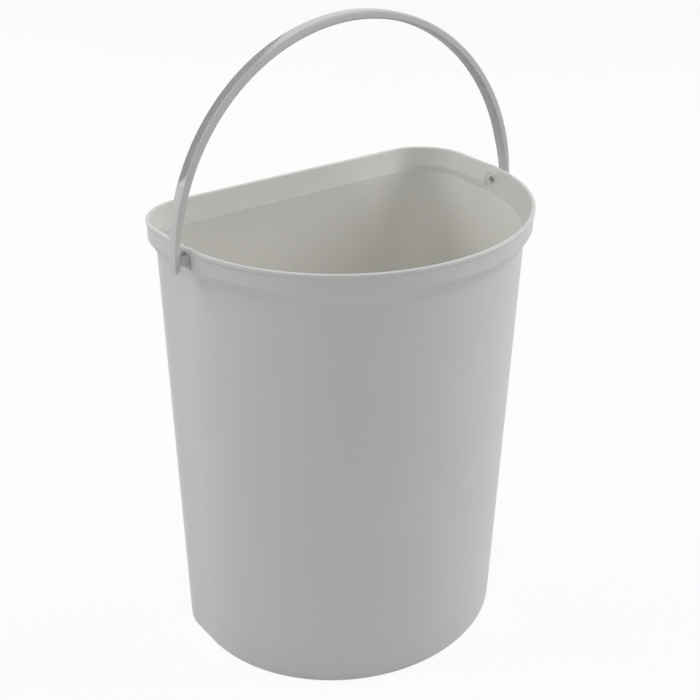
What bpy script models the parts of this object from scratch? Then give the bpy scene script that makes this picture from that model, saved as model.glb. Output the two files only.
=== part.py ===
"""A D-shaped waste bucket with a moulded bail handle.

Metres, +Z up, +X to the right and the flat back towards +Y. The origin is on the floor, at the middle of
the rim's width and depth. Plan sizes are measured from the widest line, where the round front begins.
"""
import math

import bmesh
import bpy

# Bucket outline at the rim
RIM_HALF_WIDTH = 0.130
RIM_FRONT = 0.121
RIM_BACK = 0.067
RIM_CORNER = 0.038
HEIGHT = 0.320

# Bucket outline at the base
BASE_HALF_WIDTH = 0.1178
BASE_FRONT = 0.1088
BASE_BACK = 0.0518
BASE_CORNER = 0.030
BASE_FILLET = 0.0035

# Bucket moulding
WALL = 0.0018
FLOOR = 0.0026
FLOOR_FILLET = 0.006

# Collar: the wall steps out near the top, over a slope outside and a ledge inside, under a rim bead
COLLAR_STEP = 0.006
COLLAR_BAND = 0.013
COLLAR_SLOPE = 0.0085
LEDGE_WIDTH = 0.0036
LEDGE_FALL = 0.0012
BEAD_STEP = 0.0007
BEAD_HEIGHT = 0.0032
RIM_WALL = 0.0027
RIM_ROUND = 0.001

# Pivots: a pocket in each side of the collar, with a hole for the handle's peg
PIVOT_FORWARD = 0.009
PIVOT_DROP = 0.009
POCKET_RADIUS = 0.0058
POCKET_DROP = 0.0050
POCKET_DEPTH = 0.0047
POCKET_WALL = 0.0015
PEG_RADIUS = 0.0027
PEG_CLEARANCE = 0.0003
PEG_RECESS = 0.0006
PEG_CHAMFER = 0.0005

# Bail handle
BAIL_RISE = 0.1342
BAIL_LEAN = math.radians(2.7)
TAB_STANDOFF = 0.0048
TAB_THICKNESS = 0.003
TAB_WIDTH = 0.0078
TAB_TAIL = 0.0072
LEG_THICKNESS = 0.0046
LEG_WIDTH = 0.0088
LEG_LENGTH = 0.048
LEG_TAPER = 0.032
GRIP_LENGTH = 0.076
GRIP_WIDTH = 0.0102
GRIP_THICKNESS = 0.0055
LEG_ROUND = 0.0007
GRIP_ROUND = 0.0013
CHANNEL_DEPTH = 0.0022
CHANNEL_FLANGE = 0.0014
CHANNEL_RAMP = 0.008

# Facets
FRONT_SEGMENTS = 44
CORNER_SEGMENTS = 8
SIDE_SEGMENTS = 3
BACK_SEGMENTS = 6
FILLET_SEGMENTS = 4
SLOPE_SEGMENTS = 5
WALL_SEGMENTS = 4
ARCH_SEGMENTS = 72
TAB_SEGMENTS = 6
ROUND_SEGMENTS = 24

# How far a cutter runs past what it cuts
OVERSHOOT = 0.01

# Places that follow from the sizes
MID_DEPTH = (RIM_BACK - RIM_FRONT) / 2
SLOPE_TOP = HEIGHT - COLLAR_BAND
SLOPE_BOTTOM = SLOPE_TOP - COLLAR_SLOPE
BEAD_BOTTOM = HEIGHT - BEAD_HEIGHT
PIVOT_Y = -PIVOT_FORWARD - MID_DEPTH
PIVOT_Z = HEIGHT - PIVOT_DROP
POCKET_FLOOR_X = RIM_HALF_WIDTH - POCKET_DEPTH
POCKET_BACK_X = POCKET_FLOOR_X - POCKET_WALL
TAB_OUTER_X = RIM_HALF_WIDTH + TAB_STANDOFF + TAB_THICKNESS
PEG_TIP_X = POCKET_BACK_X + PEG_RECESS
ARCH_RADIUS = (TAB_OUTER_X ** 2 + BAIL_RISE ** 2) / (2 * BAIL_RISE)
ARCH_CENTRE = BAIL_RISE - ARCH_RADIUS
ARCH_END = math.acos(-ARCH_CENTRE / ARCH_RADIUS)
GRIP_END = GRIP_LENGTH / 2 / ARCH_RADIUS
LEG_START = ARCH_END - LEG_LENGTH / ARCH_RADIUS
TAPER_START = ARCH_END - LEG_TAPER / ARCH_RADIUS

RIM = (RIM_HALF_WIDTH, RIM_FRONT, RIM_BACK, RIM_CORNER)
BASE = (BASE_HALF_WIDTH, BASE_FRONT, BASE_BACK, BASE_CORNER)


def blend(first, second, share):
    """The value a share of the way from the first to the second."""
    return first + (second - first) * share


def shrink(outline_sizes, inset):
    """The outline's half width, front, back and corner, drawn in by an inset."""
    return tuple(max(size - inset, inset / 10 + 0.0001) for size in outline_sizes)


def body_sizes(z):
    """The tapered body's outline at a height, from the base to the foot of the collar's slope."""
    top = shrink(RIM, COLLAR_STEP)
    return tuple(blend(low, high, z / SLOPE_BOTTOM) for low, high in zip(BASE, top))


def ring(outline_sizes, inset, z):
    """A closed ring of points on the D outline, anticlockwise from the left end of the round front."""
    half_width, front, back, corner = shrink(outline_sizes, inset)
    corner_x = half_width - corner
    corner_y = back - corner
    points = []
    for i in range(FRONT_SEGMENTS + 1):
        angle = math.pi * (1 + i / FRONT_SEGMENTS)
        points.append((half_width * math.cos(angle), front * math.sin(angle)))
    for i in range(1, SIDE_SEGMENTS):
        points.append((half_width, corner_y * i / SIDE_SEGMENTS))
    for i in range(CORNER_SEGMENTS + 1):
        angle = math.pi / 2 * i / CORNER_SEGMENTS
        points.append((corner_x + corner * math.cos(angle), corner_y + corner * math.sin(angle)))
    for i in range(1, BACK_SEGMENTS):
        points.append((blend(corner_x, -corner_x, i / BACK_SEGMENTS), back))
    for i in range(CORNER_SEGMENTS + 1):
        angle = math.pi / 2 * (1 + i / CORNER_SEGMENTS)
        points.append((corner * math.cos(angle) - corner_x, corner_y + corner * math.sin(angle)))
    for i in range(1, SIDE_SEGMENTS):
        points.append((-half_width, corner_y * (1 - i / SIDE_SEGMENTS)))
    return [(x, y - MID_DEPTH, z) for x, y in points]


def loft(name, rings):
    """A closed object through rings of equal length, capped at both ends."""
    mesh = bpy.data.meshes.new(name)
    bm = bmesh.new()
    loops = [[bm.verts.new(point) for point in points] for points in rings]
    count = len(loops[0])
    for lower, upper in zip(loops, loops[1:]):
        for i in range(count):
            j = (i + 1) % count
            bm.faces.new((lower[i], lower[j], upper[j], upper[i]))
    bm.faces.new(loops[0][::-1])
    bm.faces.new(loops[-1])
    bmesh.ops.recalc_face_normals(bm, faces=bm.faces)
    bm.to_mesh(mesh)
    bm.free()
    item = bpy.data.objects.new(name, mesh)
    bpy.context.scene.collection.objects.link(item)
    return item


def prism(name, outline, first_x, last_x):
    """An outline of (y, z) points carried along X."""
    return loft(name, [[(x, y, z) for y, z in outline] for x in (first_x, last_x)])


def circle(radius, y, z):
    """A circle of (y, z) points."""
    angles = [2 * math.pi * i / ROUND_SEGMENTS for i in range(ROUND_SEGMENTS)]
    return [(y + radius * math.cos(angle), z + radius * math.sin(angle)) for angle in angles]


def arched_outline(radius, drop):
    """A round-topped outline of (y, z) points about the pivot, straight below it for the drop."""
    angles = [math.pi * i / ROUND_SEGMENTS for i in range(ROUND_SEGMENTS + 1)]
    arch = [(PIVOT_Y + radius * math.cos(angle), PIVOT_Z + radius * math.sin(angle)) for angle in angles]
    return arch + [(PIVOT_Y - radius, PIVOT_Z - drop), (PIVOT_Y + radius, PIVOT_Z - drop)]


def cut(item, cutter, operation="DIFFERENCE"):
    """Cut, or join, another object into this one with a live modifier, and hide the other."""
    modifier = item.modifiers.new(cutter.name, "BOOLEAN")
    modifier.object = cutter
    modifier.operation = operation
    modifier.solver = "EXACT"
    cutter.hide_render = True
    cutter.display_type = "WIRE"


def plastic(name, colour, roughness):
    """A matt moulded plastic."""
    material = bpy.data.materials.new(name)
    material.use_nodes = True
    shader = material.node_tree.nodes["Principled BSDF"]
    shader.inputs["Base Color"].default_value = (*colour, 1.0)
    shader.inputs["Roughness"].default_value = roughness
    shader.inputs["Metallic"].default_value = 0.0
    return material


def finish(item, material):
    """Give an object its material and smooth shading with sharp edges."""
    item.data.materials.append(material)
    item.data.shade_smooth()
    item.data.set_sharp_from_angle(angle=math.radians(35))


def collar_inset(share):
    """How far the collar's slope lies inside the rim, a share of the way up it."""
    eased = 0.5 - 0.5 * math.cos(math.pi * share)
    return blend(COLLAR_STEP, BEAD_STEP, blend(share, eased, 0.5))


def body_rings(depth, floor_z, fillet, top_z):
    """Rings from a floor up the tapered body, at a depth inside its outer face."""
    rings = []
    for i in range(FILLET_SEGMENTS + 1):
        angle = math.pi / 2 * i / FILLET_SEGMENTS
        z = floor_z + fillet * (1 - math.cos(angle))
        rings.append(ring(body_sizes(z), depth + fillet * (1 - math.sin(angle)), z))
    for i in range(1, WALL_SEGMENTS + 1):
        z = blend(floor_z + fillet, top_z, i / WALL_SEGMENTS)
        rings.append(ring(body_sizes(z), depth, z))
    return rings


def rim_arc(first_inset, direction):
    """Rings up the rim's rounded edge, from an inset, going inwards or outwards as it rises."""
    radius = min(RIM_ROUND, RIM_WALL * 0.4)
    rings = []
    for i in range(FILLET_SEGMENTS + 1):
        angle = math.pi / 2 * i / FILLET_SEGMENTS
        inset = first_inset + direction * radius * (1 - math.cos(angle))
        rings.append(ring(RIM, inset, HEIGHT - radius + radius * math.sin(angle)))
    return rings


def bucket_cavity():
    """The space inside the bucket, with the pockets' backs left standing in its sides."""
    ledge_inset = COLLAR_STEP + WALL
    mouth_inset = RIM_WALL - min(RIM_ROUND, RIM_WALL * 0.4)
    rings = body_rings(WALL, FLOOR, FLOOR_FILLET, SLOPE_BOTTOM)
    rings.append(ring(RIM, ledge_inset, SLOPE_TOP - LEDGE_FALL))
    rings.append(ring(RIM, ledge_inset - LEDGE_WIDTH, SLOPE_TOP))
    rings += rim_arc(RIM_WALL, -1)
    rings.append(ring(RIM, mouth_inset, HEIGHT + OVERSHOOT))
    cavity = loft("cavity", rings)
    backing = arched_outline(POCKET_RADIUS + POCKET_WALL, POCKET_DROP + COLLAR_SLOPE + COLLAR_BAND)
    for side, sign in (("left", -1), ("right", 1)):
        outside_x = sign * (RIM_HALF_WIDTH + OVERSHOOT)
        cut(cavity, prism("pocket_back_" + side, backing, sign * POCKET_BACK_X, outside_x))
    return cavity


def build_bucket(material):
    """The bucket: outer form, less its cavity, its two pockets and their peg holes."""
    rings = body_rings(0.0, 0.0, BASE_FILLET, SLOPE_BOTTOM)
    for i in range(1, SLOPE_SEGMENTS + 1):
        share = i / SLOPE_SEGMENTS
        rings.append(ring(RIM, collar_inset(share), blend(SLOPE_BOTTOM, SLOPE_TOP, share)))
    rings.append(ring(RIM, BEAD_STEP, BEAD_BOTTOM - BEAD_STEP))
    rings.append(ring(RIM, 0.0, BEAD_BOTTOM))
    rings += rim_arc(0.0, 1)
    bucket = loft("bucket", rings)
    cut(bucket, bucket_cavity())
    pocket = arched_outline(POCKET_RADIUS, POCKET_DROP)
    hole = circle(PEG_RADIUS + PEG_CLEARANCE, PIVOT_Y, PIVOT_Z)
    for side, sign in (("left", -1), ("right", 1)):
        outside_x = sign * (RIM_HALF_WIDTH + OVERSHOOT)
        cut(bucket, prism("pocket_" + side, pocket, sign * POCKET_FLOOR_X, outside_x))
        cut(bucket, prism("peg_hole_" + side, hole, sign * (POCKET_BACK_X - OVERSHOOT), outside_x))
    finish(bucket, material)


def strip_sizes(angle):
    """The handle strip's width, thickness and edge radius at an angle from the crown.

    The full grip grows narrower and thinner towards the legs, which thin out again to the tabs.
    """
    off_crown = abs(angle)
    grip = GRIP_WIDTH, GRIP_THICKNESS, GRIP_ROUND
    leg = LEG_WIDTH, LEG_THICKNESS, LEG_ROUND
    tab = TAB_WIDTH, TAB_THICKNESS, LEG_ROUND
    if off_crown <= LEG_START:
        share = max(0.0, (off_crown - GRIP_END) / (LEG_START - GRIP_END))
        return tuple(blend(first, second, share) for first, second in zip(grip, leg))
    share = max(0.0, (off_crown - TAPER_START) / (ARCH_END - TAPER_START))
    return tuple(blend(first, second, share) for first, second in zip(leg, tab))


def on_arch(angle, radius, y):
    """A point at a radius on the handle's arch, in the handle's own frame about its pivot axis."""
    return radius * math.sin(angle), y, ARCH_CENTRE + radius * math.cos(angle)


def strip_section(width, thickness, edge):
    """A rounded rectangle of (depth below the outer face, y) points, three to each corner."""
    edge = min(edge, width * 0.45, thickness * 0.45)
    middle = edge * (1 - math.sqrt(0.5))
    corner = ((0.0, edge), (middle, middle), (edge, 0.0))
    half = width / 2
    section = [(depth, y - half) for depth, y in corner]
    section += [(thickness - depth, y - half) for depth, y in corner[::-1]]
    section += [(thickness - depth, half - y) for depth, y in corner]
    section += [(depth, half - y) for depth, y in corner[::-1]]
    return section


def arch_angles():
    """Angles along the arch, with one at each end of the grip."""
    even = [blend(-ARCH_END, ARCH_END, i / ARCH_SEGMENTS) for i in range(ARCH_SEGMENTS + 1)]
    least_step = ARCH_END / ARCH_SEGMENTS / 2
    keep = [angle for angle in even if abs(abs(angle) - GRIP_END) > least_step]
    return sorted(keep + [-GRIP_END, GRIP_END])


def tab_rings(sign):
    """Rings from a pivot down its tab and round the tab's end."""
    end_round = TAB_WIDTH / 2
    straight = max(TAB_TAIL - end_round, end_round / 10)
    rings = []
    for i in range(TAB_SEGMENTS + 1):
        angle = math.radians(84) * i / TAB_SEGMENTS
        section = strip_section(TAB_WIDTH * math.cos(angle), TAB_THICKNESS, LEG_ROUND)
        z = -straight - end_round * math.sin(angle)
        rings.append([(sign * (TAB_OUTER_X - depth), y, z) for depth, y in section])
    return rings


def channel_cutter(name, sign):
    """The open channel in the handle's outer face, between the grip and one leg."""
    ramp = CHANNEL_RAMP / ARCH_RADIUS
    first = GRIP_END + ramp / 4
    stops = [first, first + ramp]
    count = ARCH_SEGMENTS // 3
    stops += [blend(first + ramp, LEG_START - ramp, i / count) for i in range(1, count + 1)]
    stops.append(LEG_START)
    rings = []
    for place, angle in enumerate(stops):
        width, thickness, _ = strip_sizes(angle)
        ends = place in (0, len(stops) - 1)
        depth = LEG_ROUND / 2 if ends else CHANNEL_DEPTH
        half = width / 2 - CHANNEL_FLANGE
        corners = ((depth, -half), (-thickness, -half), (-thickness, half), (depth, half))
        rings.append([on_arch(sign * angle, ARCH_RADIUS - low, y) for low, y in corners])
    return loft(name, rings)


def peg(name, sign):
    """A pivot peg, from inside its tab to just short of the collar's inner face, with a chamfered tip."""
    stations = (
        (TAB_OUTER_X - TAB_THICKNESS / 3, PEG_RADIUS),
        (PEG_TIP_X + PEG_CHAMFER, PEG_RADIUS),
        (PEG_TIP_X, PEG_RADIUS - PEG_CHAMFER),
    )
    return loft(name, [[(sign * x, y, z) for y, z in circle(radius, 0.0, 0.0)] for x, radius in stations])


def build_bail(material):
    """The bail handle, standing as it rests, with its origin on the pivot axis."""
    rings = tab_rings(-1)[::-1]
    for angle in arch_angles():
        section = strip_section(*strip_sizes(angle))
        rings.append([on_arch(angle, ARCH_RADIUS - depth, y) for depth, y in section])
    rings += tab_rings(1)
    bail = loft("bail_handle", rings)
    cutters = []
    for side, sign in (("left", -1), ("right", 1)):
        channel = channel_cutter("channel_" + side, sign)
        pivot_peg = peg("peg_" + side, sign)
        cut(bail, channel)
        cut(bail, pivot_peg, "UNION")
        cutters += [channel, pivot_peg]
    for item in [bail] + cutters:
        item.location = (0.0, PIVOT_Y, PIVOT_Z)
        item.rotation_euler = (-BAIL_LEAN, 0.0, 0.0)
    finish(bail, material)


def main():
    """Clear the scene and build both mouldings."""
    for item in list(bpy.data.objects):
        bpy.data.objects.remove(item, do_unlink=True)
    build_bucket(plastic("bucket_plastic", (0.62, 0.62, 0.60), 0.48))
    build_bail(plastic("bail_plastic", (0.58, 0.58, 0.57), 0.45))


main()
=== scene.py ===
"""The look of a D-shaped waste bucket with a bail handle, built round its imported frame.

Lengths are metres in the frame's own axes: +X right, +Y towards the flat back, +Z up, with
the origin on the floor under the middle of the rim. Plan sizes run from the widest line.
"""
import logging
import math
from dataclasses import dataclass
from enum import Enum
from typing import Sequence

import bpy
import numpy as np
from mathutils import Matrix, Vector


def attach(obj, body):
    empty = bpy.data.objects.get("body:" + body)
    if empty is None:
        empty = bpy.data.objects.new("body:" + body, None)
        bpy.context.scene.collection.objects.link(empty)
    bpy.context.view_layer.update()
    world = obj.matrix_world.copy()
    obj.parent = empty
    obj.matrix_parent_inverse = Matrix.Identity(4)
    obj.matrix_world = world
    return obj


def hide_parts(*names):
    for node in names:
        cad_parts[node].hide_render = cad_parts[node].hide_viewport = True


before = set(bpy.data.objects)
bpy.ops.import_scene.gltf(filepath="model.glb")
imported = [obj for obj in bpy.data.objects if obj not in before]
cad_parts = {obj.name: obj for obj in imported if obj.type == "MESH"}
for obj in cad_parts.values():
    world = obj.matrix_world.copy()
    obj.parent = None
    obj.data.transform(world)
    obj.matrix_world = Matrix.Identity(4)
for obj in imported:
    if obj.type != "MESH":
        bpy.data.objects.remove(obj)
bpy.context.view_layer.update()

MM = 0.001
IMAGE_SIDE = 700
CIRCLE_STEPS = 48
SHARP_ANGLE = math.radians(40.0)
WHITE = (1.0, 1.0, 1.0, 1.0)

log = logging.getLogger("waste_bucket")

Array = np.ndarray
Colour = tuple[float, float, float]


class Side(Enum):
    """A side of the bucket, as the sign of its X."""

    LEFT = -1
    RIGHT = 1


class Join(Enum):
    """How a tool solid is worked into a body."""

    ADD = "UNION"
    CUT = "DIFFERENCE"


class Body(Enum):
    """The frame's two moving bodies."""

    BUCKET = "bucket"
    BAIL = "bail"


class Slot(Enum):
    """The record's material slots."""

    BUCKET = "bucket_plastic"
    BAIL = "bail_plastic"


class Mark(Enum):
    """The marks that a piece's vertices carry for its plastic: handling wear, painted glow and
    painted shade.
    """

    HANDLED = "handled"
    # INSIDE carries a painted glow on the bucket's inner face, and THICK carries painted shade on
    # the inner ledge and band.
    INSIDE = "inside"
    THICK = "thick"


def rounded_path(points: Array, radii: Sequence[float], arc_steps: int,
                 line_steps: Sequence[int]) -> Array:
    """Round a polyline's corners with tangent arcs.

    At a corner with half angle h the arc of radius r starts r / tan(h) from the corner, and its
    centre lies r / sin(h) along the bisector. Each straight keeps a point close to both its ends.

    Args:
        points: Corners of the polyline, shape (n, 2).
        radii: Arc radius at each inner corner, n - 2 of them.
        arc_steps: Steps along each arc.
        line_steps: Steps along each straight, n - 1 of them.

    Returns:
        Points along the rounded path, shape (m, 2).
    """
    support = 0.35 * MM
    starts, pieces = [points[0]], []
    for before, corner, after, radius in zip(points, points[1:], points[2:], radii):
        to_before = (before - corner) / np.linalg.norm(before - corner)
        to_after = (after - corner) / np.linalg.norm(after - corner)
        half = math.acos(float(np.clip(to_before @ to_after, -1.0, 1.0))) / 2
        bisector = (to_before + to_after) / np.linalg.norm(to_before + to_after)
        centre = corner + bisector * radius / math.sin(half)
        first = corner + to_before * radius / math.tan(half) - centre
        bend = to_before[1] * to_after[0] - to_before[0] * to_after[1]
        turn = math.copysign(math.pi - 2 * half, bend)
        angle = np.linspace(0.0, turn, arc_steps + 1)[:, None]
        across = np.array([-first[1], first[0]])
        pieces.append(centre + np.cos(angle) * first + np.sin(angle) * across)
    ends = [piece[0] for piece in pieces] + [points[-1]]
    starts += [piece[-1] for piece in pieces]
    path = [points[:1]]
    for place, (start, end, steps) in enumerate(zip(starts, ends, line_steps)):
        length = float(np.linalg.norm(end - start))
        inset = min(support, length / 4) / length
        share = np.linspace(inset, 1 - inset, steps + 1)[:, None]
        path.append(start + (end - start) * share)
        path.append(pieces[place] if place < len(pieces) else points[-1:])
    return np.concatenate(path)


def smooth_step(value: Array) -> Array:
    """Ease 0 to 1 by 3 t^2 - 2 t^3, held outside."""
    share = np.clip(value, 0.0, 1.0)
    return share * share * (3 - 2 * share)


def quarter_turn(steps: int) -> Array:
    """Even angles from 0 to a right angle, shape (steps + 1,)."""
    return np.linspace(0.0, np.pi / 2, steps + 1)


def unit_circle() -> Array:
    """Points (cos a, sin a) round a circle of radius 1, shape (CIRCLE_STEPS, 2)."""
    angle = np.linspace(0.0, 2 * np.pi, CIRCLE_STEPS, endpoint=False)
    return np.stack([np.cos(angle), np.sin(angle)], -1)


def level_directions(vectors: Array, least: float) -> Array:
    """The (x, y) parts of vectors, each divided by its length or by a least length."""
    flat = vectors[:, :2]
    return flat / np.maximum(np.linalg.norm(flat, axis=1, keepdims=True), least)


def towards(azimuth: float, elevation: float) -> Vector:
    """Unit vector to a bearing: (sin a cos e, -cos a cos e, sin e).

    Args:
        azimuth: Degrees from the front round to the right.
        elevation: Degrees above the level.

    Returns:
        The vector.
    """
    turn, lift = math.radians(azimuth), math.radians(elevation)
    level = math.cos(lift)
    return Vector((math.sin(turn) * level, -math.cos(turn) * level, math.sin(lift)))


def grid_faces(rows: int, columns: int) -> Array:
    """Index the quads of a grid whose columns close into a ring.

    Args:
        rows: Rings in the grid.
        columns: Points in each ring.

    Returns:
        Vertex indices of the quads, shape ((rows - 1) * columns, 4).
    """
    row = np.arange(rows - 1)[:, None] * columns
    here = np.arange(columns)[None, :]
    after = (here + 1) % columns
    quads = np.stack([row + here, row + after, row + after + columns, row + here + columns], -1)
    return quads.reshape(-1, 4)


def ring_solid(name: str, grid: Array) -> bpy.types.Object:
    """Make a closed object from rings of points, with a flat face over each end ring.

    Args:
        name: The object's name.
        grid: Rings, shape (rings, points, 3), anticlockwise seen from the last ring's side.

    Returns:
        The new object, at the origin.
    """
    rows, columns = grid.shape[:2]
    faces = grid_faces(rows, columns).tolist()
    faces.append(list(range(columns))[::-1])
    faces.append(list(range((rows - 1) * columns, rows * columns)))
    return mesh_object(name, grid.reshape(-1, 3), faces)


def mesh_object(name: str, points: Array, faces: list[list[int]]) -> bpy.types.Object:
    """Put points and faces into a new smooth-shaded object in the scene.

    Args:
        name: The object's name.
        points: Vertices, shape (n, 3).
        faces: Vertex indices of each face.

    Returns:
        The new object, at the origin.
    """
    mesh = bpy.data.meshes.new(name)
    mesh.from_pydata(points.tolist(), [], faces)
    mesh.validate()
    mesh.shade_smooth()
    item = bpy.data.objects.new(name, mesh)
    bpy.context.scene.collection.objects.link(item)
    return item


def work_in(item: bpy.types.Object, tools: Sequence[tuple[bpy.types.Object, Join]]) -> None:
    """Add or cut tool solids into an object for good, and remove the tools.

    Args:
        item: The object to change.
        tools: Each tool with how it is worked in, in order.
    """
    for tool, join in tools:
        modifier = item.modifiers.new(tool.name, "BOOLEAN")
        modifier.object = tool
        modifier.operation = join.value
        modifier.solver = "EXACT"
    graph = bpy.context.evaluated_depsgraph_get()
    worked = bpy.data.meshes.new_from_object(item.evaluated_get(graph))
    item.modifiers.clear()
    rough = item.data
    item.data = worked
    bpy.data.meshes.remove(rough)
    for tool, _ in tools:
        spare = tool.data
        bpy.data.objects.remove(tool)
        bpy.data.meshes.remove(spare)
    worked.materials.clear()
    worked.name = item.name
    worked.shade_smooth()
    worked.set_sharp_from_angle(angle=SHARP_ANGLE)


def vertex_places(mesh: bpy.types.Mesh) -> Array:
    """Read the positions of a mesh's vertices as one array.

    Args:
        mesh: The mesh to read.

    Returns:
        Positions, shape (n, 3).
    """
    flat = np.empty(len(mesh.vertices) * 3, np.float32)
    mesh.vertices.foreach_get("co", flat)
    return flat.reshape(-1, 3).astype(float)


def vertex_normals(mesh: bpy.types.Mesh) -> Array:
    """Read the normals of a mesh's vertices as one array.

    Args:
        mesh: The mesh to read.

    Returns:
        Unit normals, shape (n, 3).
    """
    normals = np.empty(3 * len(mesh.vertices))
    mesh.vertex_normals.foreach_get("vector", normals)
    return normals.reshape(-1, 3)


def vertex_mark(mesh: bpy.types.Mesh, mark: Mark, values: Array) -> None:
    """Store one value for each vertex under a name that a material can read."""
    attribute = mesh.attributes.new(mark.value, "FLOAT", "POINT")
    attribute.data.foreach_set("value", values.astype(np.float32))


@dataclass(frozen=True)
class ArchWindow:
    """An outline about the pivot: round on top, straight sides, and rounded lower corners."""

    radius: float
    drop: float
    corner: float
    top_steps: int = 40
    corner_steps: int = 8

    def outline(self, offset: Array) -> Array:
        """Trace the outline, grown or shrunk by each offset along its normals.

        Every point is an arc centre plus (radius + offset) times (cos a, sin a): the pivot is the
        centre over the top, and each lower corner has its own.

        Args:
            offset: How far each ring lies outside the outline, shape (n,).

        Returns:
            (y, z) points from the pivot, shape (n, points, 2).
        """
        top = np.linspace(0.0, np.pi, self.top_steps + 1)
        left = np.linspace(np.pi, 1.5 * np.pi, self.corner_steps + 1)
        right = np.linspace(1.5 * np.pi, 2 * np.pi, self.corner_steps + 1)
        angle = np.concatenate([top, left, right])
        span = self.radius - self.corner
        middle_y = np.concatenate([0 * top, 0 * left - span, 0 * right + span])
        over = np.arange(angle.size) < top.size
        middle_z = np.where(over, 0.0, self.corner - self.drop)
        base = np.where(over, self.radius, self.corner)
        reach = base[None, :] + np.asarray(offset)[:, None]
        return np.stack([middle_y + reach * np.cos(angle), middle_z + reach * np.sin(angle)], -1)


@dataclass(frozen=True)
class WallWearAndPaintedLight:
    """How far the bucket's wear, painted glow and painted shade reach, how they fade, and how
    strong they are.
    """

    fade: float = 0.0008
    ledge_foot_lift: float = 0.0003
    ledge_head_drop: float = 0.0004
    facing_from: float = 0.15
    facing_span: float = 0.3
    least_level: float = 0.01
    forward_gain: float = 1.4
    backward_from: float = -0.15
    backward_span: float = 0.4
    ledge_least_glow: float = 0.45
    ledge_shade: float = 0.3
    band_shade: float = 0.5
    rim_reach: float = 0.0022
    foot_reach: float = 0.003
    foot_share: float = 0.7


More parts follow.
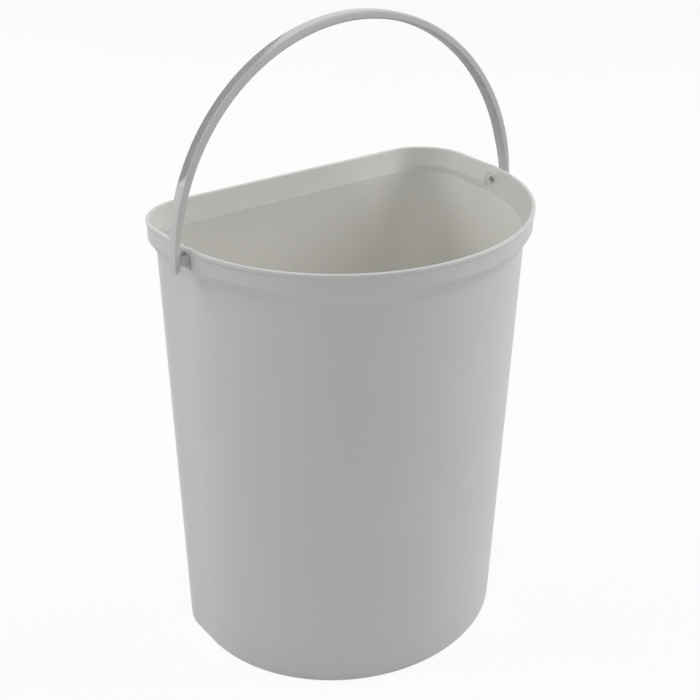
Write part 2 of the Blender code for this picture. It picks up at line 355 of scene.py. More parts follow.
@dataclass
class BucketShell:
    """The bucket: one wall section carried round a D-shaped plan, with two pivot pockets.

    The plan's sizes, rim and base, are its half width, front, back and corner radius.
    """

    rim: tuple[float, float, float, float] = (0.130, 0.121, 0.067, 0.038)
    base: tuple[float, float, float, float] = (0.1178, 0.1088, 0.0518, 0.030)
    height: float = 0.320
    wall: float = 0.0018
    floor: float = 0.0026
    collar_step: float = 0.006
    collar_band: float = 0.013
    collar_slope: float = 0.0085
    ledge_width: float = 0.0021
    ledge_fall: float = 0.0032
    bead_step: float = 0.0007
    bead_height: float = 0.0024
    rim_wall: float = 0.0027
    base_round: float = 0.0035
    floor_round: float = 0.006
    slope_foot_round: float = 0.0045
    slope_head_round: float = 0.0022
    bead_root_round: float = 0.0002
    bead_round: float = 0.00035
    rim_round: float = 0.0012
    ledge_round: float = 0.0014
    base_border: float = 0.012
    pivot_forward: float = 0.009
    pivot_drop: float = 0.009
    pocket_radius: float = 0.0058
    pocket_drop: float = 0.0050
    pocket_depth: float = 0.0047
    pocket_wall: float = 0.0015
    pocket_corner: float = 0.0009
    pocket_lip: float = 0.00035
    pocket_reach: float = 0.006
    boss_round: float = 0.0007
    boss_corner: float = 0.001
    boss_tail: float = 0.0016
    boss_sink: float = 0.0001
    peg_hole: float = 0.0030
    floor_middle: float = 0.2
    floor_rings: int = 5
    round_steps: int = 7
    front_steps: int = 176
    side_steps: int = 8
    corner_steps: int = 24
    back_steps: int = 28
    boss_steps: int = 6
    pocket_steps: int = 5
    marks: WallWearAndPaintedLight = WallWearAndPaintedLight()

    @property
    def mid_depth(self) -> float:
        """The plan's middle, behind the widest line."""
        return (self.rim[2] - self.rim[1]) / 2

    @property
    def slope_top(self) -> float:
        """Height of the collar band's foot."""
        return self.height - self.collar_band

    @property
    def slope_bottom(self) -> float:
        """Height where the tapered body meets the collar's slope."""
        return self.slope_top - self.collar_slope

    @property
    def pivot(self) -> Array:
        """A point on the bail's axis, midway between the pockets."""
        return np.array([0.0, -self.pivot_forward - self.mid_depth, self.height - self.pivot_drop])

    def wall_section(self) -> Array:
        """Trace the wall from under the base, up the outside, over the rim and down to the floor.

        Returns:
            (inset, z) points, where inset is the depth inside the body's outer face.
        """
        out = -self.collar_step
        bead_bottom = self.height - self.bead_height
        corners = np.array([
            (self.base_border, 0.0),
            (0.0, 0.0),
            (0.0, self.slope_bottom),
            (out + self.bead_step, self.slope_top),
            (out + self.bead_step, bead_bottom - self.bead_step),
            (out, bead_bottom),
            (out, self.height),
            (out + self.rim_wall, self.height),
            (self.wall - self.ledge_width, self.slope_top),
            (self.wall, self.slope_top - self.ledge_fall),
            (self.wall, self.floor),
            (self.wall + self.base_border, self.floor),
        ])
        radii = (self.base_round, self.slope_foot_round, self.slope_head_round,
                 self.bead_root_round, self.bead_round, self.rim_round, self.rim_round,
                 self.ledge_round, self.ledge_round, self.floor_round)
        line_steps = (2, 24, 5, 6, 1, 2, 1, 8, 2, 24, 2)
        return rounded_path(corners, radii, self.round_steps, line_steps)

    def plan_sizes(self, inset: Array, z: Array) -> Array:
        """Half width, front, back and corner of the plan at each height.

        The body's sizes run linearly from the base to the foot of the collar's slope, then hold.

        Args:
            inset: Depth inside the body's outer face, shape (n,).
            z: Height, shape (n,).

        Returns:
            Sizes, shape (n, 4).
        """
        low = np.array(self.base)
        high = np.array(self.rim) - self.collar_step
        share = np.clip(z / self.slope_bottom, 0.0, 1.0)[:, None]
        return low + (high - low) * share - inset[:, None]

    def plan_rings(self, sizes: Array) -> Array:
        """Trace the D plan: a half ellipse in front, straight sides, round corners, a flat back.

        Args:
            sizes: Half width, front, back and corner of each ring, shape (n, 4).

        Returns:
            (x, y) points anticlockwise from the front's left end, shape (n, points, 2).
        """
        half, front, back, corner = (sizes[:, [i]] for i in range(4))
        corner_x, corner_y = half - corner, back - corner
        nose = np.pi * (1 + np.linspace(0.0, 1.0, self.front_steps + 1))[None, :]
        side = np.linspace(0.0, 1.0, self.side_steps + 1)[None, 1:-1]
        bend = quarter_turn(self.corner_steps)[None, :]
        rear = np.linspace(1.0, -1.0, self.back_steps + 1)[None, 1:-1]
        x = [half * np.cos(nose), half + 0 * side, corner_x + corner * np.cos(bend),
             corner_x * rear, -corner_x - corner * np.sin(bend), -half + 0 * side]
        y = [front * np.sin(nose), corner_y * side, corner_y + corner * np.sin(bend),
             back + 0 * rear, corner_y + corner * np.cos(bend), corner_y * (1 - side)]
        return np.stack([np.concatenate(x, 1), np.concatenate(y, 1) - self.mid_depth], -1)

    def surface(self) -> bpy.types.Object:
        """Carry the wall section round the plan, and close base and floor on a middle point.

        Returns:
            The bucket's surface, before its pockets.
        """
        section = self.wall_section()
        rings = self.plan_rings(self.plan_sizes(section[:, 0], section[:, 1]))
        height = np.broadcast_to(section[:, 1][:, None, None], rings.shape[:2] + (1,))
        shell = np.concatenate([rings, height], -1)
        spread = np.linspace(self.floor_middle, 1.0, self.floor_rings + 1)[:-1, None, None]
        under, inside = shell[0], shell[-1]
        under_middle = np.array([0.0, under[:, 1].mean(), under[0, 2]])
        inside_middle = np.array([0.0, inside[:, 1].mean(), inside[0, 2]])
        grid = np.concatenate([
            under_middle + (under - under_middle) * spread,
            shell,
            inside_middle + (inside - inside_middle) * spread[::-1],
        ])
        rows, columns = grid.shape[:2]
        points = np.concatenate([grid.reshape(-1, 3), under_middle[None], inside_middle[None]])
        here = np.arange(columns)
        after = (here + 1) % columns
        last = (rows - 1) * columns
        under_fan = np.stack([after, here, 0 * here + rows * columns], -1)
        inside_fan = np.stack([last + here, last + after, 0 * here + rows * columns + 1], -1)
        faces = grid_faces(rows, columns).tolist() + under_fan.tolist() + inside_fan.tolist()
        return mesh_object("bucket_shell", points, faces)

    def side_face(self, y: Array, inset: float) -> Array:
        """X of the collar's side: half width times the run-in, sqrt(1 - (y / front)^2).

        Args:
            y: Depth in the frame, of any shape.
            inset: Distance inside the rim.

        Returns:
            X at each depth.
        """
        plan_y = np.minimum(y + self.mid_depth, 0.0)
        run_in = np.sqrt(1 - (plan_y / (self.rim[1] - inset)) ** 2)
        return (self.rim[0] - inset) * run_in

    def side_tool(self, name: str, side: Side, outline: Array, x: Array) -> bpy.types.Object:
        """Carry an outline along X as a closed solid.

        Args:
            name: The solid's name.
            side: Which side of the bucket it works on.
            outline: (y, z) points from the pivot, shape (rings, points, 2).
            x: Distance of each point from the middle plane, shape (rings, points).

        Returns:
            The solid.
        """
        grid = np.concatenate([x[..., None], outline], -1) + self.pivot * np.array([0.0, 1.0, 1.0])
        if side is Side.LEFT:
            grid = grid[:, ::-1] * np.array([-1.0, 1.0, 1.0])
        return ring_solid(f"{name}_{side.name.lower()}", grid)

    def boss(self, side: Side) -> bpy.types.Object:
        """The bump that backs a pocket inside the collar: an arch window, inner edge rounded.

        Args:
            side: Which side of the bucket it is on.

        Returns:
            The solid to add.
        """
        foot = self.pivot[2] - self.slope_top + self.boss_tail
        window = ArchWindow(self.pocket_radius + self.pocket_wall, foot, self.boss_corner)
        turn = quarter_turn(self.boss_steps)
        offset = np.concatenate([self.boss_round * (np.sin(turn) - 1), [0.0]])
        outline = window.outline(offset)
        back = self.rim[0] - self.pocket_depth - self.pocket_wall
        edge_x = back + self.boss_round * (1 - np.cos(turn))
        edge = np.broadcast_to(edge_x[:, None], outline[:-1, :, 0].shape)
        buried = self.side_face(outline[-1:, :, 0] + self.pivot[1], self.rim_wall - self.boss_sink)
        return self.side_tool("boss", side, outline, np.concatenate([edge, buried]))

    def pocket(self, side: Side) -> bpy.types.Object:
        """The hollow that a bail peg runs into: an arch window with a rounded floor and lip.

        Args:
            side: Which side of the bucket it is on.

        Returns:
            The solid to cut away.
        """
        window = ArchWindow(self.pocket_radius, self.pocket_drop, self.pocket_corner)
        turn = quarter_turn(self.pocket_steps)
        floor_round = self.pocket_corner / 2
        floor_offset = floor_round * (np.sin(turn) - 1)
        lip_offset = self.pocket_lip * (1 - np.cos(turn))
        outline = window.outline(np.concatenate([floor_offset, lip_offset, lip_offset[-1:]]))
        floor_x = self.rim[0] - self.pocket_depth + floor_round * (1 - np.cos(turn))
        face = self.side_face(outline[turn.size:, :, 0] + self.pivot[1], self.bead_step)
        lip_depth = np.concatenate([self.pocket_lip * (1 - np.sin(turn)), [-self.pocket_reach]])
        deep = np.broadcast_to(floor_x[:, None], outline[:turn.size, :, 0].shape)
        x = np.concatenate([deep, face - lip_depth[:, None]])
        return self.side_tool("pocket", side, outline, x)

    def peg_way(self, side: Side) -> bpy.types.Object:
        """The round hole through a pocket's back: a circle carried along X.

        Args:
            side: Which side of the bucket it is on.

        Returns:
            The solid to cut away.
        """
        circle = self.peg_hole * unit_circle()
        outline = np.stack([circle, circle])
        ends = np.array([self.rim[0] - 3 * self.pocket_depth, self.rim[0] + self.pocket_depth])
        x = np.broadcast_to(ends[:, None], outline.shape[:2])
        return self.side_tool("peg_way", side, outline, x)

    def mark(self, mesh: bpy.types.Mesh) -> None:
        """Mark the wall's painted glow and painted shade, and where handling shows.

        A vertex faces inwards as far as its normal points back at the bucket's upright axis. The
        painted glow, a lighter colour, is full below the ledge and faint on it. Above the ledge it
        is as full as the collar faces forward. The painted shade, a darker colour, lies on the
        ledge as far as the face looks sideways, but never less than a set share, and in part above
        it where the face looks backwards. The glow stands in for light that the wall lets through,
        and the shade for shade on the ledge and band, neither of which is traced. The handled mark
        falls off from the rim and the foot as exp(-(d / reach)^2).

        Args:
            mesh: The bucket's worked mesh.
        """
        marks = self.marks
        places, normals = vertex_places(mesh), vertex_normals(mesh)
        z = places[:, 2]
        inward = -np.sum(normals[:, :2] * level_directions(places, MM), axis=1)
        facing = smooth_step((inward - marks.facing_from) / marks.facing_span)
        ledge_foot = self.slope_top - self.ledge_fall + marks.ledge_foot_lift
        below = smooth_step((ledge_foot - z) / marks.fade)
        above = smooth_step((z - self.slope_top + marks.ledge_head_drop) / marks.fade)
        level = level_directions(normals, marks.least_level)
        forward = np.clip(-marks.forward_gain * level[:, 1], 0.0, 1.0)
        # Painted glow: the share of the lighter tint, full below the ledge and on the
        # forward-facing band.
        glow = np.clip(below + above * forward, marks.ledge_least_glow, 1.0)
        vertex_mark(mesh, Mark.INSIDE, facing * glow)
        # Painted shade: the share of the darker tint, on the sideways-facing ledge and the
        # backward-facing band.
        backward = smooth_step((level[:, 1] - marks.backward_from) / marks.backward_span)
        sideways = np.maximum(np.abs(level[:, 0]), marks.ledge_shade)
        held = (1 - above) * sideways + above * marks.band_shade * backward
        vertex_mark(mesh, Mark.THICK, facing * (1 - below) * held)
        rim = np.exp(-((z - self.height) / marks.rim_reach) ** 2)
        foot = np.exp(-(z / marks.foot_reach) ** 2)
        vertex_mark(mesh, Mark.HANDLED, np.clip(rim + marks.foot_share * foot, 0.0, 1.0))

    def build(self, finish: "MouldedPlastic") -> bpy.types.Object:
        """Make the bucket, dress it, and stand it in for its node.

        Args:
            finish: The bucket's plastic.

        Returns:
            The finished piece.
        """
        item = self.surface()
        tools = [(self.boss(side), Join.ADD) for side in Side]
        tools += [(self.pocket(side), Join.CUT) for side in Side]
        tools += [(self.peg_way(side), Join.CUT) for side in Side]
        work_in(item, tools)
        self.mark(item.data)
        return stand_in(item, Body.BUCKET, "bucket", finish)


@dataclass
class BailHandle:
    """The bail: a strip round an arch, from a flat grip through channelled runs to two pegs."""

    pivot: Array
    half_span: float = 0.1378
    rise: float = 0.1342
    lean: float = math.radians(2.7)
    leg_thickness: float = 0.0046
    leg_width: float = 0.0088
    leg_length: float = 0.048
    leg_taper: float = 0.032
    tab_width: float = 0.0078
    tab_thickness: float = 0.003
    tab_tail: float = 0.0072
    tab_turn: float = math.radians(87.0)
    grip_length: float = 0.076
    grip_width: float = 0.0102
    grip_thickness: float = 0.0055
    leg_round: float = 0.0006
    grip_round: float = 0.0015
    most_round: float = 0.45
    held_length: float = 0.45
    held_fade: float = 0.35
    channel_depth: float = 0.0032
    channel_start_depth: float = 0.00006
    channel_flange: float = 0.0009
    channel_ramp: float = 0.008
    channel_fade: float = 0.040
    channel_lip: float = 0.0002
    channel_root: float = 0.0007
    channel_most_round: float = 0.4
    channel_reach: float = 0.004
    peg_radius: float = 0.0027
    peg_tip: float = 0.1244
    peg_chamfer: float = 0.0005
    peg_root: float = 0.0006
    peg_core: float = 0.0016
    peg_core_depth: float = 0.004
    arch_steps: int = 220
    edge_steps: int = 6
    tab_steps: int = 14
    channel_rings: int = 150
    channel_round_steps: int = 5
    peg_root_steps: int = 6

    @property
    def radius(self) -> float:
        """Radius of the arch's outer face, through both tabs and the crown."""
        return (self.half_span ** 2 + self.rise ** 2) / (2 * self.rise)

    @property
    def centre(self) -> float:
        """Height of the arch's centre above the pivots."""
        return self.rise - self.radius

    @property
    def end(self) -> float:
        """Angle from the crown to a pivot."""
        return math.acos(-self.centre / self.radius)

    @property
    def grip_end(self) -> float:
        """Angle from the crown to the grip's end."""
        return self.grip_length / 2 / self.radius

    @property
    def leg_start(self) -> float:
        """Angle from the crown to the channel's lower end."""
        return self.end - self.leg_length / self.radius

    def place(self, points: Array) -> Array:
        """Turn points from the handle's own frame to its rest, and carry them to the pivot."""
        turn = np.array(Matrix.Rotation(-self.lean, 3, "X"))
        return points @ turn.T + self.pivot

    def strip_sizes(self, angle: Array) -> tuple[Array, Array, Array]:
        """Width, thickness and edge radius of the strip at each angle from the crown.

        Each holds its grip value over the grip, runs linearly to its leg value, holds that down to
        the leg's taper, and runs linearly to its tab value at the pivot.

        Args:
            angle: Angles, shape (n,).

        Returns:
            Three arrays of shape (n,).
        """
        off = np.abs(angle)
        places = [self.grip_end, self.leg_start, self.end - self.leg_taper / self.radius, self.end]
        width = np.interp(off, places, [self.grip_width, self.leg_width, self.leg_width,
                                        self.tab_width])
        thickness = np.interp(off, places, [self.grip_thickness, self.leg_thickness,
                                            self.leg_thickness, self.tab_thickness])
        edge = np.interp(off, places, [self.grip_round, self.leg_round, self.leg_round,
                                       self.leg_round])
        return width, thickness, edge

    def section(self, width: Array, thickness: Array, edge: Array) -> Array:
        """A rounded rectangle at each station: a quarter circle of the edge radius at each corner.

        Args:
            width: Across the strip, shape (n,).
            thickness: Through the strip, shape (n,).
            edge: Edge radius, shape (n,).

        Returns:
            (depth below the outer face, y) points, shape (n, points, 2).
        """
        edge = np.minimum(edge, self.most_round * np.minimum(width, thickness))[:, None]
        half, thickness = width[:, None] / 2, thickness[:, None]
        turn = quarter_turn(self.edge_steps)[None, :]
        rise, run = edge * (1 - np.cos(turn)), edge * (1 - np.sin(turn))
        outer_depth = np.concatenate([rise, thickness - run], 1)
        outer_y = np.concatenate([run - half, rise - half], 1)
        mirror_depth = outer_depth[:, ::-1]
        mirror_y = -outer_y[:, ::-1]
        return np.stack([np.concatenate([outer_depth, mirror_depth], 1),
                         np.concatenate([outer_y, mirror_y], 1)], -1)

    def on_arch(self, angle: Array, section: Array) -> Array:
        """Stand sections across the arch: x = r sin a, z = centre + r cos a, r = radius - depth.

        Args:
            angle: Angle of each section from the crown, shape (n,).
            section: (depth, y) points of each section, shape (n, points, 2).

        Returns:
            Points in the handle's own frame, shape (n, points, 3).
        """
        reach = self.radius - section[..., 0]
        turn = angle[:, None]
        x, z = reach * np.sin(turn), self.centre + reach * np.cos(turn)
        return np.stack([x, section[..., 1], z], -1)

    def tab(self, side: Side) -> Array:
        """Rings from a pivot down its tab: a straight tail, then a half round as cos a.

        Args:
            side: Which end of the handle it is on.

        Returns:
            Points in the handle's own frame, shape (rings, points, 3).
        """
        turn = np.linspace(0.0, self.tab_turn, self.tab_steps + 1)
        count = turn.size
        section = self.section(self.tab_width * np.cos(turn), np.full(count, self.tab_thickness),
                               np.full(count, self.leg_round))
        fall = self.tab_tail - self.tab_width / 2 + self.tab_width / 2 * np.sin(turn)
        x = side.value * (self.half_span - section[..., 0])
        z = np.broadcast_to(-fall[:, None], x.shape)
        return np.stack([x, section[..., 1], z], -1)

    def strip(self) -> bpy.types.Object:
        """The whole strip, from one tab's end over the arch to the other's.

        Returns:
            The solid, before its channels and pegs.
        """
        angle = np.linspace(-self.end, self.end, self.arch_steps + 1)
        arch = self.on_arch(angle, self.section(*self.strip_sizes(angle)))
        rings = np.concatenate([self.tab(Side.LEFT)[::-1], arch, self.tab(Side.RIGHT)])
        return ring_solid("bail_arch", self.place(rings))

    def channel(self, side: Side) -> bpy.types.Object:
        """The channel in the strip's outer face, from the grip to the leg.

        Its section is a slot with rounded root corners and a lip that opens as a quarter circle.
        Its depth fades in from a quarter ramp past the grip, and eases out over a ramp at the leg.

        Args:
            side: Which half of the arch it runs in.

        Returns:
            The solid to cut away.
        """
        ramp, fade = self.channel_ramp / self.radius, self.channel_fade / self.radius
        angle = np.linspace(self.grip_end + ramp / 4, self.leg_start, self.channel_rings)
        width, _, _ = self.strip_sizes(angle)
        easing = smooth_step((angle - angle[0]) / fade) * smooth_step((angle[-1] - angle) / ramp)
        start = self.channel_start_depth
        depth = (start + (self.channel_depth - start) * easing)[:, None]
        half = (width / 2 - self.channel_flange)[:, None]
        lip = np.minimum(self.channel_lip, self.channel_most_round * depth)
        root = np.minimum(self.channel_root, self.channel_most_round * depth)
        turn = quarter_turn(self.channel_round_steps)[None, :]
        lip_depth, lip_y = lip * (1 - np.cos(turn)), half + lip * (1 - np.sin(turn))
        root_depth, root_y = depth - root * (1 - np.sin(turn)), half - root * (1 - np.cos(turn))
        outside = np.full_like(depth, -self.channel_reach)
        wall_depth = np.concatenate([outside, lip_depth, root_depth], 1)
        wall_y = np.concatenate([half + lip, lip_y, root_y], 1)
        section = np.stack([np.concatenate([wall_depth, wall_depth[:, ::-1]], 1),
                            np.concatenate([-wall_y, wall_y[:, ::-1]], 1)], -1)
        if side is Side.LEFT:
            angle, section = -angle[::-1], section[::-1]
        return ring_solid(f"channel_{side.name.lower()}", self.place(self.on_arch(angle, section)))

    def peg(self, side: Side) -> bpy.types.Object:
        """A pivot peg: a circle along X with a filleted root, a chamfered tip and a cored end.

        Args:
            side: Which end of the handle it is on.

        Returns:
            The solid to add.
        """
        turn = quarter_turn(self.peg_root_steps)
        face = self.half_span - self.tab_thickness
        root_x = face - self.peg_root * (1 - np.cos(turn))
        root_radius = self.peg_radius + self.peg_root * (1 - np.sin(turn))
        tip = self.peg_tip
        x = np.concatenate([[face + self.tab_thickness / 2], root_x,
                            [tip + self.peg_chamfer, tip, tip, tip + self.peg_core_depth]])
        tip_radius = [self.peg_radius, self.peg_radius - self.peg_chamfer,
                      self.peg_core, self.peg_core]
        radius = np.concatenate([root_radius[:1], root_radius, tip_radius])
        outline = radius[:, None, None] * unit_circle()
        across = np.broadcast_to(side.value * x[:, None, None], outline.shape[:2] + (1,))
        grid = np.concatenate([across, outline], -1)
        if side is Side.RIGHT:
            grid = grid[:, ::-1]
        return ring_solid(f"peg_{side.name.lower()}", self.place(grid))

    def mark(self, mesh: bpy.types.Mesh) -> None:
        """Mark where hands hold the grip, fading out past its ends.

        Args:
            mesh: The handle's worked mesh.
        """
        share = np.abs(vertex_places(mesh)[:, 0]) / self.grip_length
        held = 1 - smooth_step((share - self.held_length) / self.held_fade)
        vertex_mark(mesh, Mark.HANDLED, held)

    def build(self, finish: "MouldedPlastic") -> bpy.types.Object:
        """Make the bail, dress it, and stand it in for its node.

        Args:
            finish: The bail's plastic.

        Returns:
            The finished piece.
        """
        item = self.strip()
        tools = [(self.channel(side), Join.CUT) for side in Side]
        tools += [(self.peg(side), Join.ADD) for side in Side]
        work_in(item, tools)
        self.mark(item.data)
        return stand_in(item, Body.BAIL, "bail_handle", finish)


def stand_in(item: bpy.types.Object, body: Body, node: str,
             finish: "MouldedPlastic") -> bpy.types.Object:
    """Dress a piece and let it ride on its body in place of its node.

    Args:
        item: The piece.
        body: The body it rides on.
        node: The node it stands for.
        finish: Its plastic.

    Returns:
        The same piece.
    """
    item.data.materials.append(finish.material())
    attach(item, body.value)
    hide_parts(node)
    return item


class NodeSheet:
    """A node tree that is filled one node at a time."""

    def __init__(self, tree: bpy.types.NodeTree) -> None:
        """Keep the tree to fill."""
        self.tree = tree

    def add(self, kind: str, settings: dict | None = None, **sockets: object) -> bpy.types.Node:
        """Add a node, set its properties, and feed its inputs.

        Args:
            kind: Blender's name for the node.
            settings: Properties of the node itself.
            sockets: Input name, with _ for a space, to an output socket or a plain value.

        Returns:
            The node.
        """
        node = self.tree.nodes.new(kind)
        for name, value in (settings or {}).items():
            setattr(node, name, value)
        for name, value in sockets.items():
            self.feed(node.inputs[name.replace("_", " ")], value)
        return node

    def feed(self, socket: bpy.types.NodeSocket, value: object) -> None:
        """Link an output into a socket, or set the socket's own value.

        Args:
            socket: The input to feed.
            value: An output socket or a plain value.
        """
        if isinstance(value, bpy.types.NodeSocket):
            self.tree.links.new(value, socket)
        else:
            socket.default_value = value

    def math(self, operation: str, first: object, second: object) -> bpy.types.NodeSocket:
        """Work out one step of arithmetic on two values.

        Args:
            operation: Blender's name for the step.
            first: A socket or a number.
            second: A socket or a number.

        Returns:
            The result's socket.
        """
        node = self.add("ShaderNodeMath", {"operation": operation})
        self.feed(node.inputs[0], first)
        self.feed(node.inputs[1], second)
        return node.outputs[0]

    def attribute(self, mark: Mark) -> bpy.types.NodeSocket:
        """Read one of the marks that the piece's vertices carry."""
        return self.add("ShaderNodeAttribute", {"attribute_name": mark.value}).outputs["Fac"]

    def blend(self, share: bpy.types.NodeSocket, first: object,
              second: object) -> bpy.types.NodeSocket:
        """Mix two colours, by the share of the second.

        Args:
            share: The share, from 0 to 1.
            first: A socket or a colour.
            second: A socket or a colour.

        Returns:
            The mixed colour's socket.
        """
        node = self.add("ShaderNodeMix", {"data_type": "RGBA"})
        self.feed(node.inputs[0], share)
        self.feed(node.inputs[6], first)
        self.feed(node.inputs[7], second)
        return node.outputs[2]

    def spread(self, value: object, low: float, high: float) -> bpy.types.NodeSocket:
        """Carry a value from 0..1 to low..high.

        Args:
            value: The socket to carry.
            low: Result at 0.
            high: Result at 1.

        Returns:
            The result's socket.
        """
        node = self.add("ShaderNodeMapRange", Value=value)
        node.inputs["To Min"].default_value = low
        node.inputs["To Max"].default_value = high
        return node.outputs[0]


def shared_group(
    name: str, inputs: Sequence[tuple[str, str]], outputs: Sequence[tuple[str, str]],
) -> tuple[NodeSheet, bpy.types.Node, bpy.types.Node]:
    """Start a shader node group with named sockets.

    Args:
        name: The group's name.
        inputs: Name and socket type of each input.
        outputs: Name and socket type of each output.

    Returns:
        The group's sheet, its input node and its output node.
    """
    tree = bpy.data.node_groups.new(name, "ShaderNodeTree")
    for socket, kind in inputs:
        tree.interface.new_socket(socket, in_out="INPUT", socket_type=kind)
    for socket, kind in outputs:
        tree.interface.new_socket(socket, in_out="OUTPUT", socket_type=kind)
    sheet = NodeSheet(tree)
    return sheet, sheet.add("NodeGroupInput"), sheet.add("NodeGroupOutput")


def spark_grain() -> bpy.types.NodeTree:
    """Make the fine eroded grain that a mould leaves: a finer noise over a coarser one.

    Returns:
        The node group.
    """
    sheet, given, result = shared_group(
        "spark_grain",
        [("Vector", "NodeSocketVector"), ("Scale", "NodeSocketFloat")],
        [("Height", "NodeSocketFloat")],
    )
    fine_ratio, fine_share = 2.7, 0.5
    vector, scale = given.outputs["Vector"], given.outputs["Scale"]
    coarse = sheet.add("ShaderNodeTexNoise", Vector=vector, Scale=scale, Detail=3.0, Roughness=0.6)
    finer = sheet.math("MULTIPLY", scale, fine_ratio)
    fine = sheet.add("ShaderNodeTexNoise", Vector=vector, Scale=finer, Detail=2.0, Roughness=0.5)
    added = sheet.math("MULTIPLY", fine.outputs[0], fine_share)
    sheet.feed(result.inputs["Height"], sheet.math("ADD", coarse.outputs[0], added))
    return sheet.tree


def flow_mottle() -> bpy.types.NodeTree:
    """Make pigment that settled unevenly: soft clouds, and streaks along the flow.

    Returns:
        The node group.
    """
    sheet, given, result = shared_group(
        "flow_mottle",
        [("Vector", "NodeSocketVector"), ("Colour", "NodeSocketColor"),
         ("Amount", "NodeSocketFloat")],
        [("Colour", "NodeSocketColor")],
    )
    streak_share, middle = 0.6, 0.8
    vector = given.outputs["Vector"]
    clouds = sheet.add("ShaderNodeTexNoise", Vector=vector, Scale=14.0, Detail=3.0)
    drawn = sheet.add("ShaderNodeMapping", Vector=vector, Scale=(1.0, 1.0, 0.07))
    streaks = sheet.add("ShaderNodeTexNoise", Vector=drawn.outputs[0], Scale=70.0, Detail=2.0)
    added = sheet.math("MULTIPLY", streaks.outputs[0], streak_share)
    centred = sheet.math("SUBTRACT", sheet.math("ADD", clouds.outputs[0], added), middle)
    gain = sheet.math("ADD", sheet.math("MULTIPLY", centred, given.outputs["Amount"]), 1.0)
    tinted = sheet.add("ShaderNodeVectorMath", {"operation": "SCALE"})
    sheet.feed(tinted.inputs[0], given.outputs["Colour"])
    sheet.feed(tinted.inputs["Scale"], gain)
    sheet.feed(result.inputs["Colour"], tinted.outputs[0])
    return sheet.tree


def handling_wear() -> bpy.types.NodeTree:
    """Make wear where hands and the floor reach: the piece's own mark, broken by noise.

    Returns:
        The node group.
    """
    sheet, given, result = shared_group(
        "handling_wear",
        [("Vector", "NodeSocketVector"), ("Reach", "NodeSocketFloat")],
        [("Mask", "NodeSocketFloat")],
    )
    patches = sheet.add("ShaderNodeTexNoise", Vector=given.outputs["Vector"], Scale=90.0,
                        Detail=4.0)
    broken = sheet.spread(patches.outputs[0], low=0.35, high=1.0)
    sheet.feed(result.inputs["Mask"], sheet.math("MULTIPLY", given.outputs["Reach"], broken))
    return sheet.tree


@dataclass(frozen=True)
class SharedEffects:
    """The node groups that every plastic uses."""

    grain: bpy.types.NodeTree
    mottle: bpy.types.NodeTree
    wear: bpy.types.NodeTree

    @classmethod
    def make(cls) -> "SharedEffects":
        """Build each group once."""
        return cls(spark_grain(), flow_mottle(), handling_wear())


@dataclass(frozen=True)
class MouldedPlastic:
    """A pale pigmented plastic, as it comes from the mould, with tints of painted glow and painted
    shade under some marks.
    """

    name: str
    effects: SharedEffects
    colour: Colour
    roughness: float
    worn_roughness: float
    grain_scale: float
    grain_depth: float
    mottle: float
    painted_light_tints: tuple[tuple[Mark, Colour], ...] = ()
    ior: float = 1.49
    specular: float = 0.3

    def material(self) -> bpy.types.Material:
        """Build the material: mottled colour with painted light tints, grain as bump, and smoother
        where it is handled.

        Returns:
            The material.
        """
        material = bpy.data.materials.new(self.name)
        material.use_nodes = True
        material.node_tree.nodes.clear()
        sheet = NodeSheet(material.node_tree)
        place = sheet.add("ShaderNodeTexCoord").outputs["Object"]
        pigment: object = (*self.colour, 1.0)
        # Each tint is painted light, mixed into the colour by the share its mark gives.
        for mark, painted_tint in self.painted_light_tints:
            pigment = sheet.blend(sheet.attribute(mark), pigment, (*painted_tint, 1.0))
        mottle = sheet.add("ShaderNodeGroup", {"node_tree": self.effects.mottle}, Vector=place,
                           Colour=pigment, Amount=self.mottle)
        grain = sheet.add("ShaderNodeGroup", {"node_tree": self.effects.grain}, Vector=place,
                          Scale=self.grain_scale)
        wear = sheet.add("ShaderNodeGroup", {"node_tree": self.effects.wear}, Vector=place,
                         Reach=sheet.attribute(Mark.HANDLED))
        roughness = sheet.spread(wear.outputs["Mask"], self.roughness, self.worn_roughness)
        bump = sheet.add("ShaderNodeBump", Strength=1.0, Distance=self.grain_depth,
                         Height=grain.outputs["Height"])
        shader = sheet.add("ShaderNodeBsdfPrincipled", Base_Color=mottle.outputs["Colour"],
                           Roughness=roughness, Normal=bump.outputs["Normal"], IOR=self.ior,
                           Specular_IOR_Level=self.specular)
        sheet.add("ShaderNodeOutputMaterial", Surface=shader.outputs["BSDF"])
        return material


@dataclass(frozen=True)
class SoftBox:
    """A square studio lamp, placed by its bearing from the camera's own and aimed at the bucket."""

    name: str
    bearing: float
    elevation: float
    power: float
    distance: float = 2.6
    width: float = 1.6

    def build(self, camera_azimuth: float, aim: Vector) -> bpy.types.Object:
        """Hang the lamp, unseen by the camera.

        Args:
            camera_azimuth: The camera's azimuth in degrees.
            aim: The point it faces.

        Returns:
            The lamp.
        """
        away = towards(camera_azimuth + self.bearing, self.elevation)
        data = bpy.data.lights.new(self.name, "AREA")
        data.shape = "SQUARE"
        data.size = self.width
        data.energy = self.power
        lamp = bpy.data.objects.new(self.name, data)
        lamp.location = aim + away * self.distance
        lamp.rotation_mode = "QUATERNION"
        lamp.rotation_quaternion = away.to_track_quat("Z", "Y")
        lamp.visible_camera = False
        bpy.context.scene.collection.objects.link(lamp)
        return lamp


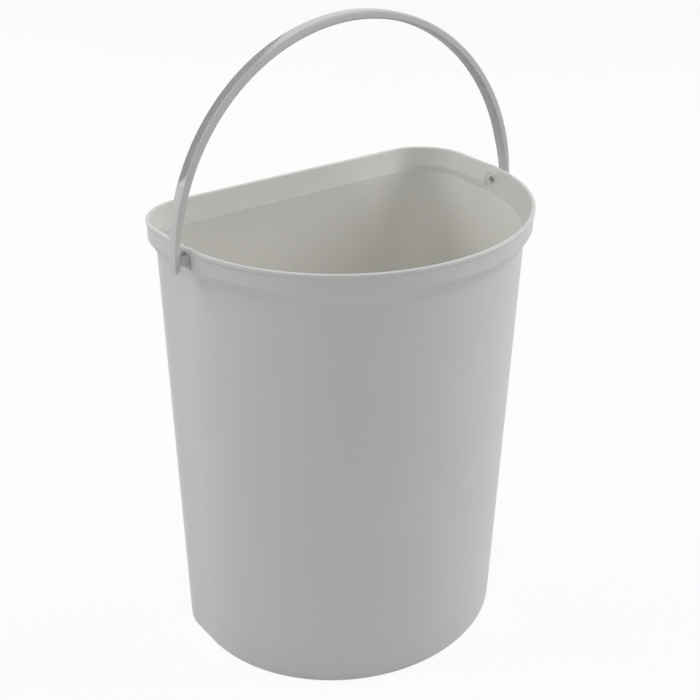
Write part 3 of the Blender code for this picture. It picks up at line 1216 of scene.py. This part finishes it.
@dataclass
class Studio:
    """The camera, the pale floor, the even surrounding light and the soft boxes."""

    aim: tuple[float, float, float] = (0.0, 0.027, 0.20684)
    azimuth: float = -36.852
    elevation: float = 27.486
    roll: float = 0.651
    distance: float = 0.87144
    lens: float = 63.07
    sensor: float = 36.0
    clip: tuple[float, float] = (0.01, 100.0)
    middle_column: float = 344.36
    floor_side: float = 8.0
    floor_colour: Colour = (0.80, 0.80, 0.80)
    floor_glow: float = 0.92
    ambient: float = 0.08
    boxes: tuple[SoftBox, ...] = (
        SoftBox("front_box", bearing=0.0, elevation=45.0, power=19.6),
        SoftBox("left_box", bearing=-92.0, elevation=42.0, power=29.8),
        SoftBox("left_rear_box", bearing=-128.0, elevation=23.0, power=17.2),
        SoftBox("right_box", bearing=106.0, elevation=34.0, power=44.2),
        SoftBox("rear_box", bearing=180.0, elevation=45.0, power=3.5),
    )

    def camera(self) -> bpy.types.Object:
        """Stand the camera where the picture was taken from, with its slight roll.

        Returns:
            The camera.
        """
        azimuth, roll = math.radians(self.azimuth), math.radians(self.roll)
        back = towards(self.azimuth, self.elevation)
        level = Vector((math.cos(azimuth), math.sin(azimuth), 0.0))
        upright = back.cross(level)
        right = level * math.cos(roll) + upright * math.sin(roll)
        up = upright * math.cos(roll) - level * math.sin(roll)
        data = bpy.data.cameras.new("picture_camera")
        data.lens, data.sensor_width = self.lens, self.sensor
        data.shift_x = (IMAGE_SIDE / 2 - self.middle_column) / IMAGE_SIDE
        data.clip_start, data.clip_end = self.clip
        item = bpy.data.objects.new("picture_camera", data)
        item.rotation_mode = "QUATERNION"
        item.rotation_quaternion = Matrix((right, up, back)).transposed().to_quaternion()
        item.location = Vector(self.aim) + back * self.distance
        bpy.context.scene.collection.objects.link(item)
        bpy.context.scene.camera = item
        return item

    def seen(self, sheet: NodeSheet) -> bpy.types.NodeSocket:
        """Tell rays that show the background: of the camera, of gloss and of clear things.

        Args:
            sheet: The node tree to work in.

        Returns:
            A socket that is 1 for those rays and else 0.
        """
        path = sheet.add("ShaderNodeLightPath").outputs
        shown = sheet.math("MAXIMUM", path["Is Camera Ray"], path["Is Glossy Ray"])
        return sheet.math("MAXIMUM", shown, path["Is Transmission Ray"])

    def floor(self) -> bpy.types.Object:
        """Lay a flat pale floor that reads as near white and keeps the bucket's shadow.

        Returns:
            The floor.
        """
        half = self.floor_side / 2
        corners = np.array([(-half, -half, 0.0), (half, -half, 0.0), (half, half, 0.0),
                            (-half, half, 0.0)])
        item = mesh_object("studio_floor", corners, [[0, 1, 2, 3]])
        material = bpy.data.materials.new("studio_floor")
        material.use_nodes = True
        material.node_tree.nodes.clear()
        sheet = NodeSheet(material.node_tree)
        matt = sheet.add("ShaderNodeBsdfDiffuse", Color=(*self.floor_colour, 1.0))
        glow = sheet.add("ShaderNodeEmission", Color=WHITE, Strength=1.0)
        share = sheet.math("MULTIPLY", self.seen(sheet), self.floor_glow)
        mix = sheet.add("ShaderNodeMixShader")
        sheet.feed(mix.inputs[0], share)
        sheet.feed(mix.inputs[1], matt.outputs[0])
        sheet.feed(mix.inputs[2], glow.outputs[0])
        sheet.add("ShaderNodeOutputMaterial", Surface=mix.outputs[0])
        material.cycles.emission_sampling = "NONE"
        item.data.materials.append(material)
        return item

    def surround(self) -> bpy.types.World:
        """Light everything evenly, and show as white.

        Returns:
            The world.
        """
        world = bpy.data.worlds.new("studio_surround")
        world.use_nodes = True
        world.node_tree.nodes.clear()
        sheet = NodeSheet(world.node_tree)
        strength = sheet.spread(self.seen(sheet), self.ambient, 1.0)
        light = sheet.add("ShaderNodeBackground", Color=WHITE, Strength=strength)
        sheet.add("ShaderNodeOutputWorld", Surface=light.outputs[0])
        world.cycles.sampling_method = "NONE"
        bpy.context.scene.world = world
        return world

    def build(self) -> None:
        """Set up the whole studio."""
        bpy.context.scene.view_settings.view_transform = "Standard"
        self.camera()
        self.floor()
        self.surround()
        for box in self.boxes:
            box.build(self.azimuth, Vector(self.aim))


def main() -> None:
    """Build the studio and both mouldings, and report each piece."""
    logging.basicConfig(level=logging.INFO)
    Studio().build()
    effects = SharedEffects.make()
    bucket_plastic = MouldedPlastic(
        "bucket_moulding", effects, colour=(0.62, 0.62, 0.615), roughness=0.50,
        worn_roughness=0.42, grain_scale=1500.0, grain_depth=0.000015, mottle=0.05,
        # The lighter warm tint is a painted glow on the inner face; the darker tint is painted
        # shade on the ledge and band.
        painted_light_tints=((Mark.INSIDE, (0.735, 0.726, 0.685)), (Mark.THICK, (0.44, 0.44, 0.425))),
    )
    bail_plastic = MouldedPlastic(
        "bail_moulding", effects, colour=(0.56, 0.56, 0.555), roughness=0.52,
        worn_roughness=0.46, grain_scale=1900.0, grain_depth=0.000002, mottle=0.04,
    )
    shell = BucketShell()
    for piece in (shell.build(bucket_plastic), BailHandle(shell.pivot).build(bail_plastic)):
        log.info("%s: %d faces", piece.name, len(piece.data.polygons))


if __name__ == "__main__":
    main()
